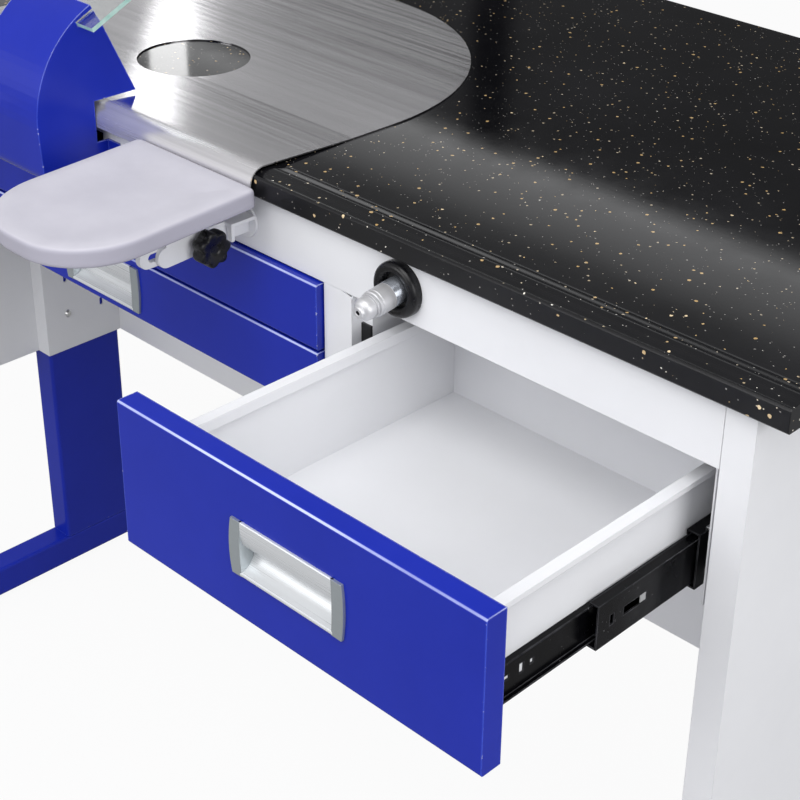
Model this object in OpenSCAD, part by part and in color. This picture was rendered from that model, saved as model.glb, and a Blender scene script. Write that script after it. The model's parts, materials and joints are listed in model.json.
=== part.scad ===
// Single seat laboratory bench with a stone worktop, a stainless work plate,
// a suction hood with a glass shield, two padded arm rests, an air nozzle
// and three drawers on ball bearing slides. Millimetres, Z up.
// The origin is on the floor, below the middle of the bench with its right
// hand drawer standing open.

/* [Worktop] */
// Length of the worktop from end to end
top_l = 1200; // [1150:10:1600]
// Depth of the worktop from front to back
top_d = 600; // [560:5:750]
// Height of the working surface above the floor
top_h = 800; // [720:5:900]
// Thickness of the stone slab
top_t = 19; // [16:1:30]
// Height of the no-drip lip above the working surface
lip_h = 1.2; // [1:0.1:4]
// Width of the lip from the front arris to the flat surface
lip_w = 30; // [24:1:40]
// Overhang of the slab past each end panel
end_overhang = 26.5; // [10:0.5:40]
// Setback of the end panels from the back edge of the slab
back_setback = 10; // [5:1:30]

/* [Carcass] */
// Thickness of the hollow end panels
panel_t = 24; // [20:1:30]
// Thickness of the folded steel sheet
sheet = 1.5; // [1:0.1:2]
// Setback of the apron behind the front edge of the slab
apron_setback = 8; // [6:1:12]
// Height of the apron
apron_h = 51; // [48:1:70]
// Depth of the flanges folded back from the apron
flange_d = 18; // [14:1:22]
// Height of the drawer bays below the apron
bay_h = 119; // [116:1:150]
// Depth from the apron face to the cross panel
carcass_d = 301; // [300:1:340]
// Depth of the flanges folded back from the cross panel
cross_flange = 15; // [10:1:25]
// Drop of the end panels, sleeves and cross panel below the slab
panel_drop = 473; // [400:1:520]
// Width of the stile between the middle and the right bay
divider_w = 30.5; // [22:0.5:40]
// Width of the clear opening of the right bay
right_bay_w = 341; // [320:1:380]
// Width of the clear opening of the middle bay
middle_bay_w = 562; // [480:1:600]
// Height of the rail under the back of the slab
rear_rail_h = 40; // [30:1:60]
// Width of the rails that carry the slab behind the cross panel
prop_w = 20; // [15:1:30]
// Distance of those rails from the middle of the bench
prop_x = 250; // [150:5:300]

/* [Legs] */
// Width of the leg post from side to side
post_w = 33; // [28:1:36]
// Depth of the leg post from front to back
post_d = 100; // [80:1:110]
// Wall thickness of the leg tubes
tube_wall = 2; // [1.5:0.5:3]
// Corner radius of the leg tubes
tube_r = 4; // [3:0.5:6]
// Distance from the bottom of the drawer bays to the top of the sleeves
sleeve_gap = 3; // [1:0.5:10]
// Distance from the top of the sleeves to the top of the posts
post_top_gap = 5; // [0:1:60]
// Height of the foot tube
foot_h = 38; // [30:1:50]
// Length of the foot tube
foot_l = 520; // [460:5:560]
// Distance of the foot tube behind the front edge of the slab
foot_front = 40; // [20:1:60]
// Height of the glides under the feet
glide_h = 6; // [4:0.5:10]
// Diameter of the glides
glide_d = 28; // [22:1:32]
// Distance of each glide from the end of the foot
glide_in = 32; // [25:1:60]
// Distance by which the sleeves stand in from the end panels
sleeve_out = 22; // [18:0.5:26]
// Width of the slots in the sleeves
sleeve_slot_w = 4.6; // [4.3:0.1:6]
// Length of the slots in the sleeves
sleeve_slot_l = 10; // [8:0.5:14]

/* [Drawers] */
// Clearance round each drawer front
front_gap = 1.5; // [1.5:0.1:3]
// Clearance between the two middle drawer fronts
between_gap = 2.5; // [2:0.1:4]
// Thickness of the drawer fronts
front_t = 17; // [15:0.5:22]
// Distance by which closed fronts stand proud of the apron
front_proud = 7; // [4:0.5:9]
// Radius of the folded front edges
front_r = 2; // [1:0.5:3]
// Sheet thickness of the drawer boxes
box_sheet = 1.2; // [1:0.1:1.5]
// Length of the drawer boxes
box_l = 285; // [282:1:288]
// Width of the rim folded in on the middle drawers
middle_rim_w = 8; // [5:0.5:10]
// Width of the rim folded in on the right drawer
right_rim_in = 4.5; // [3:0.5:8]
// Width of the rim folded out on the right drawer
right_rim_out = 5; // [3:0.5:7]
// Height of the lip below the folded rims
rim_h = 9; // [5:0.5:12]
// Drop of the right drawer sides below the top of its front
right_rim_drop = 24; // [18:1:30]
// Height of the right drawer sides
right_box_h = 81; // [70:0.5:84]
// Drop of the middle drawer sides below the top of their fronts
middle_rim_drop = 10; // [8:1:12]
// Height of the middle drawer sides
middle_box_h = 40; // [38:0.5:42]
// Distance by which the right drawer stands open
right_open = 211; // [0:1:260]

/* [Slides] */
// Height of the slides of the right drawer
right_slide_h = 45; // [42:1:48]
// Height of the slides of the middle drawers
middle_slide_h = 35; // [33:1:37]
// Height of the middle of the slides above the bottom of the right drawer
right_slide_up = 18.8; // [18:0.1:30]
// Thickness of a slide
slide_t = 12.7; // [12:0.1:13.5]
// Length of the slides
slide_l = 280; // [270:1:284]
// Sheet thickness of the slide members
slide_sheet = 1.2; // [1:0.1:1.5]
// Distance from the apron face to the front of the slides
slide_front = 12; // [11:0.5:14]
// Gap between a bay wall and the slides of the right drawer
right_standoff = 16.8; // [12:0.1:18]
// Gap between a bay wall and the slides of the middle drawers
middle_standoff = 7.3; // [5:0.1:10]

/* [Handles] */
// Length of the recessed handles
handle_l = 104; // [96:1:160]
// Height of the recessed handles
handle_h = 43; // [38:1:46]
// Depth of the handle pocket behind the drawer face
pocket_d = 13; // [11:0.5:14]
// Thickness of the handle flange on the drawer face
handle_lip = 2; // [1.5:0.1:3]
// Width of the end caps
cap_w = 5; // [4:0.5:8]
// Distance by which the end caps stand out further than the flange
cap_proud = 0.6; // [0.4:0.1:1.5]

/* [Work plate] */
// Distance of the seat's centre line left of the middle of the bench
work_offset = 129; // [100:1:160]
// Width of the plate, which ends in a half circle of that diameter
plate_w = 475; // [400:1:500]
// Distance from the front edge of the slab to the start of the half circle
plate_straight = 151; // [130:1:200]
// Thickness of the plate
plate_t = 1; // [0.8:0.1:2]
// Height of the plate above the slab where it passes over the lip
plate_lift = 3.5; // [3:0.1:4.5]
// Distance behind the front edge of the slab at which the plate comes down to the slab
plate_down = 105; // [90:1:125]
// Outer radius of the rolled front edge
roll_r = 14; // [13:0.5:14]
// Distance by which the rolled edge stands in front of the slab
roll_out = 3.8; // [3.8:0.1:5]
// Height of the straight edge below the roll
roll_skirt = 7; // [3:0.5:9]
// Diameter of the hole
hole_d = 101; // [80:1:120]
// Distance of the hole's centre behind the front edge of the slab
hole_y = 134; // [120:1:150]

/* [Suction hood] */
// Width of the hood
hood_w = 84; // [76:1:96]
// Radius of the curved shell
hood_r = 101; // [95:1:104]
// Sheet thickness of the hood
hood_t = 1.5; // [1:0.1:2]
// Distance of the curve's centre behind the front edge of the slab
hood_cy = 40; // [36:1:44]
// Height of the curve's centre above the underside of the slab
hood_cz = 15; // [12:1:18]
// Angle at which the curve ends at the top
hood_end_a = 114; // [110:1:118]
// Depth of the hood below the underside of the slab
hood_drop = 36; // [32:1:44]
// Width of the flanges that fix the hood to the apron
hood_flange = 15; // [12:1:20]
// Thickness of the glass shield
glass_t = 4; // [3:0.5:6]
// Slope of the glass shield in degrees
glass_a = 25.6; // [22:0.2:28]
// Width of the glass shield
glass_w = 126; // [100:2:150]
// Length of the glass shield up its slope
glass_l = 118; // [90:2:140]
// Radius of the back corners of the glass shield
glass_r = 18; // [10:1:30]
// Width of the suction duct
duct_w = 66; // [50:1:70]
// Height of the suction duct
duct_h = 22; // [18:1:24]
// Distance by which the duct reaches behind the cross panel
duct_back = 60; // [50:1:100]
// Outer diameter of the hose spigot
spigot_d = 34; // [28:1:40]

/* [Arm rests] */
// Distance of each rest from the seat's centre line
rest_offset = 174.5; // [165:0.5:190]
// Width of the pads
pad_w = 145; // [130:1:150]
// Length of the pads
pad_l = 171; // [150:1:190]
// Thickness of the pads
pad_t = 17; // [14:1:20]
// Radius of the front corners of the pads towards the seat
pad_inner_r = 65; // [40:1:66]
// Radius of the front corners of the pads away from the seat
pad_outer_r = 62; // [30:1:66]
// Radius of the back corners of the pads
pad_back_r = 5; // [4:1:16]
// Gap between the pads and the front edge of the slab
pad_gap = 3; // [3:0.5:10]
// Height of the underside of the pads below the underside of the slab
pad_low = 6.5; // [5:0.5:7]
// Angle by which the rests slope down to the front, in degrees
rest_tilt = 3; // [3:0.5:5]
// Thickness of the steel plate under each pad
pad_plate_t = 3; // [2:0.5:4]
// Length of the round ended plate on the apron
base_l = 113; // [112:1:120]
// Height of the round ended plate on the apron
base_h = 29; // [26:1:32]
// Thickness of the round ended plate on the apron
base_t = 2; // [1.5:0.5:3]
// Depth of the rest pivot below the underside of the slab
pivot_z = 28; // [27.5:0.5:30]
// Distance of the rest pivot in front of the slab
pivot_y = 45; // [40:1:48]
// Height of the slotted bar
bar_h = 16; // [15:1:18]
// Thickness of the slotted bar
bar_t = 5; // [4:0.5:6]
// Reach of the slotted bar in front of the slab
bar_reach = 100; // [100:1:120]
// Height of the clamped arm under the pad
arm_h = 17; // [16:1:20]
// Thickness of the clamped arm
arm_t = 4; // [3:0.5:5]
// Diameter of the clamping stud
stud_d = 6; // [5:0.5:6.5]
// Diameter of the star knob
knob_d = 30.5; // [28:0.5:32]
// Thickness of the star knob
knob_t = 14; // [10:1:18]
// Number of lobes of the star knob
knob_lobes = 7; // [5:1:9]

/* [Air nozzle] */
// Distance of the nozzle from the partition on its left
nozzle_in = 52.5; // [45:0.5:120]
// Depth of the nozzle axis below the underside of the slab
nozzle_z = 25.5; // [24.5:0.5:26]
// Outer diameter of the ring on the apron
ring_d = 44; // [36:1:45]
// Thickness of the ring in front of the apron
ring_t = 9; // [7:0.5:12]
// Diameter of the nozzle body
nozzle_d = 21; // [18:0.5:21]
// Reach of the nozzle in front of the apron
nozzle_out = 44; // [40:1:50]
// Angle by which the nozzle points down, in degrees
nozzle_tilt = 7; // [0:1:8]

/* [Hidden] */

// Finishes as the photograph shows them
blue_paint = [0.13, 0.17, 0.66];
white_paint = [0.88, 0.89, 0.91];
black_stone = [0.11, 0.11, 0.13];
bare_steel = [0.72, 0.72, 0.72];
black_slide = [0.07, 0.07, 0.08];
pad_grey = [0.78, 0.77, 0.82];
bare_aluminium = [0.80, 0.81, 0.82];
black_plastic = [0.06, 0.06, 0.06];
clear_glass = [0.55, 0.85, 0.75, 0.4];
zinc = [0.75, 0.75, 0.74];

// Clearances: a flush seam, a loose piece on its seat, a sliding fit
seam = 0.4;
seat = 0.3;
fit = 0.1;
overcut = 1;
round_fn = 48;

// Levels and planes of the carcass
slab_z = top_h - top_t;
reach = right_open + front_proud + handle_lip + cap_proud - apron_setback;
front_y = (reach - top_d) / 2;
apron_y = front_y + apron_setback;
cross_y = apron_y + carcass_d;
back_y = front_y + top_d - back_setback;
panel_x = top_l / 2 - end_overhang - panel_t;
apron_low = slab_z - apron_h;
bay_low = apron_low - bay_h;
panel_low = slab_z - panel_drop;
rear_rail_d = 30;

// Bays, from the right end panel to the left
right_bay_x1 = panel_x;
right_bay_x0 = right_bay_x1 - right_bay_w;
divider_x1 = right_bay_x0;
divider_x0 = divider_x1 - divider_w;
middle_bay_x1 = divider_x0;
middle_bay_x0 = middle_bay_x1 - middle_bay_w;
right_mid_x = (right_bay_x0 + right_bay_x1) / 2;
nozzle_x = right_bay_x0 + nozzle_in;
middle_mid_x = (middle_bay_x0 + middle_bay_x1) / 2;

// Drawer fronts and boxes
right_front_w = right_bay_w - 2 * front_gap;
right_front_h = bay_h - 2 * front_gap;
right_front_z = bay_low + front_gap;
right_box_w = right_bay_w - 2 * (right_standoff + slide_t);
right_box_z = right_front_z + right_front_h - right_rim_drop - right_box_h;
middle_front_w = middle_bay_w - 2 * front_gap;
middle_front_h = (bay_h - 2 * front_gap - between_gap) / 2;
lower_front_z = bay_low + front_gap;
upper_front_z = lower_front_z + middle_front_h + between_gap;
middle_box_w = middle_bay_w - 2 * (middle_standoff + slide_t);
middle_box_rise = middle_front_h - middle_rim_drop - middle_box_h;
front_face_y = apron_y - front_proud;
box_y = front_face_y + front_t;

// Slides: how far each member is set in from the one around it
right_slide_z = right_box_z + right_slide_up;
slide_lip = 4.3;
ball_gap = 0.8;
middle_inset = slide_lip + ball_gap;
inner_inset = middle_inset + slide_sheet + ball_gap;
inner_reach = 4.5;
middle_off = 2.2;
middle_in = 10;
middle_short = 10;
middle_back = 2;
// Slots in the members of the right slides: distance from the front end, length, height
middle_slots = [[12.8, 4, 8.5], [27, 24, 7]];
inner_slots = [[26.7, 7.3, 3.6], [43.4, 4, 7.6], [53.4, 3.3, 4]];

// Legs
post_x0 = panel_x - sleeve_out + sheet + seat;
sleeve_y1 = cross_y;
sleeve_y0 = sleeve_y1 - post_d - 2 * (sheet + seat);
sleeve_top = bay_low - sleeve_gap;
post_y0 = sleeve_y0 + sheet + seat;
foot_y0 = front_y + foot_front;
slot_rows = [94, 47];
slot_columns = [31, 79];
glide_stem_r = 4;

// Work plate and seat
work_x = -work_offset;
plate_r = plate_w / 2;
roll_back = roll_r - roll_out;

// Hood profile, measured from the slab's front edge and underside
hood_bend = 12;
notch_y = -roll_out - 0.7;
notch_low = -11;
notch_top = top_t + plate_lift + plate_t + 2;
hood_back_top = [10, 87];
hood_back_low = [38, notch_top];
glass_front_y = -14;
glass_level = 92;

// Arm rests
bar_x = 43;
arm_x = bar_x + bar_t + seat;
knob_x = arm_x + arm_t + seat;
slot_y0 = -92;
slot_y1 = -30;
bar_slot_h = 7;
pad_plate_w = 106;
pad_plate_l = 125;
pad_plate_r = 12;
pad_plate_back = 25;
arm_back = 12;
arm_front = 41;

// Plain block between two corners
module block(a, b) {
    translate(a) cube(b - a);
}

// Square with four round corners, lower left corner at the origin
module round_square(size, r) {
    translate([r, 0]) square([size[0] - 2 * r, size[1]]);
    translate([0, r]) square([size[0], size[1] - 2 * r]);
    for (x = [r, size[0] - r], y = [r, size[1] - r])
        translate([x, y]) circle(r, $fn = round_fn);
}

// Flat profile in Y and Z drawn out along X
module along_x(x0, length) {
    translate([x0, 0, 0]) rotate([90, 0, 90]) linear_extrude(length) children();
}

// Flat profile in X and Z drawn out along Y
module along_y(y0, length) {
    translate([0, y0 + length, 0]) rotate([90, 0, 0]) linear_extrude(length) children();
}

// Round bar along X
module rod_x(x0, length, r) {
    translate([x0, 0, 0]) rotate([0, 90, 0]) cylinder(h = length, r = r, $fn = round_fn);
}

// Round bar along Y
module rod_y(y0, length, r) {
    translate([0, y0, 0]) rotate([-90, 0, 0]) cylinder(h = length, r = r, $fn = round_fn);
}

// The same shape on the right and on the left of the bench
module both_ends() {
    children();
    mirror([1, 0, 0]) children();
}

// Worktop

lip_steps = 10;
lip_crest = 0.5;
arris = 1.4;

// Height of the lip's curve at the fraction t of its width, as two half waves
function lip_level(t) = t < lip_crest
    ? top_t - 1 + (lip_h + 1) * (1 - cos(180 * t / lip_crest)) / 2
    : top_t + lip_h * (1 + cos(180 * (t - lip_crest) / (1 - lip_crest))) / 2;

module worktop() {
    lip_start = 3;
    curve = [for (i = [0 : 2 * lip_steps])
        let (t = i / (2 * lip_steps)) [lip_start + t * (lip_w - lip_start), lip_level(t)]];
    front = [[0, arris], [0, top_t - 0.8 - arris], [arris, top_t - 0.8]];
    back = [[top_d - arris, top_t], [top_d, top_t - arris], [top_d, 0], [arris, 0]];
    color(black_stone)
        translate([0, front_y, slab_z])
            along_x(-top_l / 2, top_l)
                polygon(concat(front, curve, back));
}

module plate_outline() {
    translate([-plate_r, 0]) square([plate_w, plate_straight]);
    translate([0, plate_straight]) circle(plate_r, $fn = 128);
}

// Quarter round that takes the plate over the slab's front edge, with a straight edge below it
module plate_roll() {
    difference() {
        translate([roll_back, plate_t - roll_r]) circle(roll_r, $fn = 64);
        translate([roll_back, plate_t - roll_r]) circle(roll_r - plate_t, $fn = 64);
        translate([roll_back, -2 * roll_r]) square(4 * roll_r);
        translate([-2 * roll_r, plate_t - 3 * roll_r]) square([4 * roll_r, 2 * roll_r]);
    }
    translate([-roll_out, plate_t - roll_r - roll_skirt]) square([plate_t, roll_skirt]);
}

// Height of the plate's underside above the slab, at a distance behind the slab's front edge
function plate_level(y) = y > plate_down
    ? seat
    : plate_lift + (seat - plate_lift) * (y - roll_back) / (plate_down - roll_back);

module work_plate() {
    color(bare_steel)
        translate([work_x, front_y, slab_z + top_t])
            difference() {
                union() {
                    translate([0, 0, plate_lift]) along_x(-plate_r, plate_w) plate_roll();
                    along_x(-plate_r, plate_w)
                        polygon([[roll_back, plate_lift], [plate_down, seat],
                                 [plate_down, seat + plate_t], [roll_back, plate_lift + plate_t]]);
                    translate([0, 0, seat])
                        linear_extrude(plate_t)
                            intersection() {
                                plate_outline();
                                translate([-plate_w, plate_down]) square([2 * plate_w, top_d]);
                            }
                }
                translate([0, hole_y, -overcut])
                    cylinder(h = plate_lift + plate_t + 2 * overcut, d = hole_d, $fn = 96);
            }
}

// Rubber discs that carry the plate behind the slab's lip
module plate_pads() {
    disc_r = 9;
    disc_in = 40;
    disc_y = 45;
    color(black_plastic)
        for (x = [disc_in - plate_r, plate_r - disc_in])
            translate([work_x + x, front_y + disc_y, slab_z + top_t])
                cylinder(h = plate_level(disc_y + disc_r), r = disc_r, $fn = 32);
}

// Carcass

module apron() {
    color(white_paint)
        difference() {
            union() {
                block([seam - panel_x, apron_y, apron_low], [panel_x - seam, apron_y + sheet, slab_z]);
                block([seam - panel_x, apron_y, apron_low],
                      [panel_x - seam, apron_y + flange_d, apron_low + sheet]);
                block([seam - panel_x, apron_y, slab_z - sheet],
                      [panel_x - seam, apron_y + flange_d, slab_z]);
            }
            translate([nozzle_x, apron_y, slab_z - nozzle_z])
                rod_y(-overcut, sheet + 2 * overcut, nozzle_collar_r + fit);
            duct_window(apron_y);
        }
}

// Window for the suction duct in a sheet whose front face is at y
module duct_window(y) {
    block([work_x - duct_w / 2 - fit, y - overcut, duct_z - fit],
          [work_x + duct_w / 2 + fit, y + sheet + overcut, duct_z + duct_h + fit]);
}

// Hollow end panel, open to the slab, with a way through for the leg post
module end_panel() {
    difference() {
        block([panel_x, apron_y, panel_low], [panel_x + panel_t, back_y, slab_z]);
        block([panel_x + sheet, apron_y + sheet, panel_low + sheet],
              [panel_x + panel_t - sheet, back_y - sheet, slab_z + overcut]);
        block([panel_x - overcut, post_y0 - seat, panel_low - overcut],
              [post_x0 + post_w + seat, post_y0 + post_d + seat, sleeve_top - sheet]);
    }
}

module right_end_panel() {
    color(white_paint) end_panel();
}

module left_end_panel() {
    color(white_paint) mirror([1, 0, 0]) end_panel();
}

// Folded panel across the back of the drawer bays
module cross_panel() {
    color(white_paint)
        difference() {
            along_x(-panel_x, 2 * panel_x)
                translate([cross_y, panel_low])
                    difference() {
                        square([cross_flange, panel_drop]);
                        translate([sheet, sheet]) square([cross_flange, panel_drop - 2 * sheet]);
                    }
            duct_window(cross_y);
        }
}

module rear_rail() {
    color(white_paint)
        along_x(-panel_x, 2 * panel_x)
            translate([back_y - rear_rail_d, slab_z - rear_rail_h])
                difference() {
                    square([rear_rail_d, rear_rail_h]);
                    translate([-sheet, -sheet]) square([rear_rail_d, rear_rail_h]);
                }
}

// Two rails under the slab from the cross panel to the rear rail
module top_props() {
    prop_h = 25;
    color(white_paint)
        both_ends()
            translate([prop_x, 0, slab_z - prop_h])
                along_y(cross_y + cross_flange, back_y - rear_rail_d - cross_y - cross_flange)
                    difference() {
                        square([prop_w, prop_h]);
                        translate([sheet, -sheet]) square([prop_w - 2 * sheet, prop_h]);
                    }
}

// Hollow stile and partition between the middle and the right bay
module divider() {
    relief_w = 9;
    relief_low = 0.8;
    relief_h = 3;
    color(white_paint)
        difference() {
            union() {
                block([divider_x0, apron_y, bay_low], [divider_x1, cross_y, apron_low]);
                block([divider_x0, apron_y + flange_d, bay_low], [divider_x1, cross_y, slab_z]);
            }
            block([divider_x0 + sheet, apron_y + sheet, bay_low - overcut],
                  [divider_x1 - sheet, cross_y - sheet, apron_low - sheet]);
            block([divider_x0 + sheet, apron_y + flange_d + sheet, bay_low - overcut],
                  [divider_x1 - sheet, cross_y - sheet, slab_z - sheet]);
            along_y(apron_y - overcut, sheet + overcut)
                polygon([[divider_x1 - relief_w, apron_low + overcut],
                         [divider_x1 - relief_w, apron_low - relief_low],
                         [divider_x1, apron_low - relief_h],
                         [divider_x1 + overcut, apron_low + overcut]]);
        }
}

// Fixed panel left of the middle bay, with its partition
module left_fascia() {
    color(white_paint) {
        block([seam - panel_x, apron_y, bay_low], [middle_bay_x0, apron_y + sheet, apron_low]);
        block([seam - panel_x, apron_y, bay_low], [middle_bay_x0, apron_y + flange_d, bay_low + sheet]);
        block([middle_bay_x0 - sheet, apron_y, bay_low], [middle_bay_x0, cross_y, apron_low]);
        block([middle_bay_x0 - sheet, apron_y + flange_d, bay_low], [middle_bay_x0, cross_y, slab_z]);
    }
}

// Legs

module slot_through_x(x0, length, w, l) {
    rod_x(x0, length, w / 2);
    translate([0, 0, l - w]) rod_x(x0, length, w / 2);
    translate([x0, -w / 2, 0]) cube([length, w, l - w]);
}

module sleeve() {
    face_x = panel_x - sleeve_out;
    difference() {
        block([face_x, sleeve_y0, panel_low], [panel_x, sleeve_y1, sleeve_top]);
        block([face_x + sheet, sleeve_y0 + sheet, panel_low - overcut],
              [panel_x + overcut, sleeve_y1 - sheet, sleeve_top - sheet]);
        for (z = slot_rows, y = slot_columns)
            translate([0, sleeve_y0 + y, panel_low + z - sleeve_slot_l / 2 + sleeve_slot_w / 2])
                slot_through_x(face_x - overcut, sheet + 2 * overcut, sleeve_slot_w, sleeve_slot_l);
    }
}

module right_sleeve() {
    color(white_paint) sleeve();
}

module left_sleeve() {
    color(white_paint) mirror([1, 0, 0]) sleeve();
}

// Pan head screws that clamp each post in its sleeve
module sleeve_screws() {
    head_t = 2.6;
    head_r = 4.2;
    face_x = panel_x - sleeve_out;
    color(zinc)
        both_ends()
            for (i = [0, 1])
                translate([0, sleeve_y0 + slot_columns[i], panel_low + slot_rows[1 - i]]) {
                    translate([face_x - head_t, 0, 0]) rotate([0, 90, 0])
                        cylinder(h = head_t, r1 = head_r - 1.2, r2 = head_r, $fn = 32);
                    rod_x(face_x, sheet + seat, 2);
                }
}

module post() {
    translate([post_x0, post_y0, glide_h + foot_h])
        linear_extrude(sleeve_top - sheet - post_top_gap - glide_h - foot_h)
            difference() {
                round_square([post_w, post_d], tube_r);
                translate([tube_wall, tube_wall])
                    round_square([post_w - 2 * tube_wall, post_d - 2 * tube_wall], tube_r - tube_wall / 2);
            }
}

module right_post() {
    color(blue_paint) post();
}

module left_post() {
    color(blue_paint) mirror([1, 0, 0]) post();
}

module glide_places() {
    for (y = [foot_y0 + glide_in, foot_y0 + foot_l - glide_in])
        translate([post_x0 + post_w / 2, y, 0]) children();
}

module foot() {
    difference() {
        translate([post_x0, 0, glide_h])
            along_y(foot_y0, foot_l)
                difference() {
                    round_square([post_w, foot_h], tube_r);
                    translate([tube_wall, tube_wall])
                        round_square([post_w - 2 * tube_wall, foot_h - 2 * tube_wall],
                                     tube_r - tube_wall / 2);
                }
        glide_places() cylinder(h = glide_h + tube_wall + overcut, r = glide_stem_r + fit, $fn = 32);
    }
}

module right_foot() {
    color(blue_paint) foot();
}

module left_foot() {
    color(blue_paint) mirror([1, 0, 0]) foot();
}

// Plastic plugs that close the ends of the foot tubes
module foot_caps() {
    cap_t = 3;
    plug_l = 14;
    color(black_plastic)
        both_ends()
            for (end = [0, 1])
                translate([post_x0 + post_w / 2, foot_y0 + end * foot_l, glide_h + foot_h / 2])
                    rotate([0, 0, end * 180]) {
                        translate([-post_w / 2, 0, -foot_h / 2])
                            along_y(-cap_t, cap_t) round_square([post_w, foot_h], tube_r);
                        translate([tube_wall + seat - post_w / 2, 0, tube_wall + seat - foot_h / 2])
                            along_y(0, plug_l)
                                round_square([post_w - 2 * tube_wall - 2 * seat,
                                              foot_h - 2 * tube_wall - 2 * seat], tube_r - tube_wall / 2);
                    }
}

module foot_glides() {
    rim = 1.5;
    color(black_plastic)
        both_ends()
            glide_places() {
                cylinder(h = rim, d1 = glide_d - 2 * rim, d2 = glide_d, $fn = 32);
                translate([0, 0, rim]) cylinder(h = glide_h - rim, d = glide_d, $fn = 32);
                cylinder(h = glide_h + tube_wall + 3, r = glide_stem_r, $fn = 32);
            }
}

// Slides, drawn for the right hand wall of a bay: the bay wall is at x = 0
// and the drawer is on the left, at -slide_t

module outer_member(h) {
    half = h / 2;
    difference() {
        translate([-slide_t + 1.7, -half]) square([slide_t - 1.7, h]);
        translate([-slide_t, slide_sheet - half]) square([slide_t - slide_sheet, h - 2 * slide_sheet]);
    }
    for (side = [-1, 1])
        translate([-slide_t + 1.7, side > 0 ? half - slide_lip : -half])
            square([slide_sheet, slide_lip]);
}

module middle_member(h) {
    half = h / 2 - middle_inset;
    difference() {
        translate([-middle_in, -half]) square([middle_in - middle_off, 2 * half]);
        translate([-middle_in - overcut, slide_sheet - half])
            square([middle_in + overcut - middle_off - slide_sheet, 2 * (half - slide_sheet)]);
    }
}

module inner_member(h) {
    half = h / 2 - inner_inset;
    difference() {
        translate([-slide_t, -half]) square([inner_reach, 2 * half]);
        translate([slide_sheet - slide_t, slide_sheet - half])
            square([slide_t, 2 * (half - slide_sheet)]);
    }
}

// Places a member on both walls of a bay and shifts it towards the front
module slide_pair(mid_x, half_w, z, y, length) {
    for (side = [0, 1])
        translate([mid_x, 0, z])
            mirror([side, 0, 0])
                translate([half_w, 0, 0])
                    along_y(y, length) children();
}

right_wall = right_box_w / 2 + slide_t;
middle_wall = middle_box_w / 2 + slide_t;
slide_y = apron_y + slide_front;
upper_box_z = upper_front_z + middle_box_rise;
lower_box_z = lower_front_z + middle_box_rise;
upper_slide_z = upper_box_z + middle_box_h / 2;
lower_slide_z = lower_box_z + middle_box_h / 2;

module fixed_slides() {
    color(black_slide) {
        slide_pair(right_mid_x, right_wall, right_slide_z, slide_y, slide_l)
            outer_member(right_slide_h);
        for (z = [upper_slide_z, lower_slide_z])
            slide_pair(middle_mid_x, middle_wall, z, slide_y, slide_l)
                outer_member(middle_slide_h);
    }
}

module right_slide_middles() {
    front = slide_y + middle_back - right_open / 2;
    color(black_slide)
        difference() {
            slide_pair(right_mid_x, right_wall, right_slide_z, front, slide_l - middle_short)
                middle_member(right_slide_h);
            slide_slots(middle_slots, front);
        }
}

module upper_slide_middles() {
    color(black_slide)
        slide_pair(middle_mid_x, middle_wall, upper_slide_z, slide_y + middle_back, slide_l - middle_short)
            middle_member(middle_slide_h);
}

module lower_slide_middles() {
    color(black_slide)
        slide_pair(middle_mid_x, middle_wall, lower_slide_z, slide_y + middle_back, slide_l - middle_short)
            middle_member(middle_slide_h);
}

module right_slide_inners() {
    front = box_y + middle_back - right_open;
    color(black_slide)
        difference() {
            slide_pair(right_mid_x, right_wall, right_slide_z, front, slide_l)
                inner_member(right_slide_h);
            slide_slots(inner_slots, front);
        }
}

module upper_slide_inners() {
    color(black_slide)
        slide_pair(middle_mid_x, middle_wall, upper_slide_z, box_y + middle_back, slide_l)
            inner_member(middle_slide_h);
}

module lower_slide_inners() {
    color(black_slide)
        slide_pair(middle_mid_x, middle_wall, lower_slide_z, box_y + middle_back, slide_l)
            inner_member(middle_slide_h);
}

// Slots through both members of a right slide whose front ends are at y
module slide_slots(slots, y) {
    for (s = slots)
        block([right_mid_x - right_wall, y + s[0], right_slide_z - s[2] / 2],
              [right_mid_x + right_wall, y + s[0] + s[1], right_slide_z + s[2] / 2]);
}

// Channel between a bay wall and a slide, flanges towards the wall
module standoff_channel(depth, h) {
    difference() {
        translate([0, -h / 2]) square([depth, h]);
        translate([sheet, sheet - h / 2]) square([depth, h - 2 * sheet]);
    }
}

buffer_t = 2;
bracket_flange_w = 10.3;
bracket_flange_y = box_y + seat + buffer_t;

// Channels that carry the slides, with an upright sheet in front of them on both walls
module right_slide_brackets() {
    bracket_h = right_slide_h + 10;
    set_back = 30;
    joint_l = 10;
    color(white_paint) {
        slide_pair(right_mid_x, right_wall, right_slide_z, slide_y + set_back, slide_l - set_back)
            standoff_channel(right_standoff, bracket_h);
        for (x = [right_bay_x0 + bracket_flange_w - sheet, right_bay_x1 - bracket_flange_w])
            block([x, bracket_flange_y, bay_low], [x + sheet, slide_y + set_back + joint_l, apron_low]);
        block([right_bay_x0, bracket_flange_y, bay_low],
              [right_bay_x0 + bracket_flange_w, bracket_flange_y + sheet, apron_low]);
    }
}

module middle_slide_brackets() {
    bracket_h = middle_slide_h + 6;
    color(white_paint)
        for (z = [upper_slide_z, lower_slide_z])
            slide_pair(middle_mid_x, middle_wall, z, slide_y, slide_l)
                standoff_channel(middle_standoff, bracket_h);
}

// Rubber strip on the bracket flange of the right bay that the closed front meets
module drawer_buffer() {
    buffer_h = 34;
    buffer_drop = 27;
    color(black_plastic)
        block([right_bay_x0, bracket_flange_y - buffer_t, apron_low - buffer_drop - buffer_h],
              [right_bay_x0 + bracket_flange_w, bracket_flange_y, apron_low - buffer_drop]);
}

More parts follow.
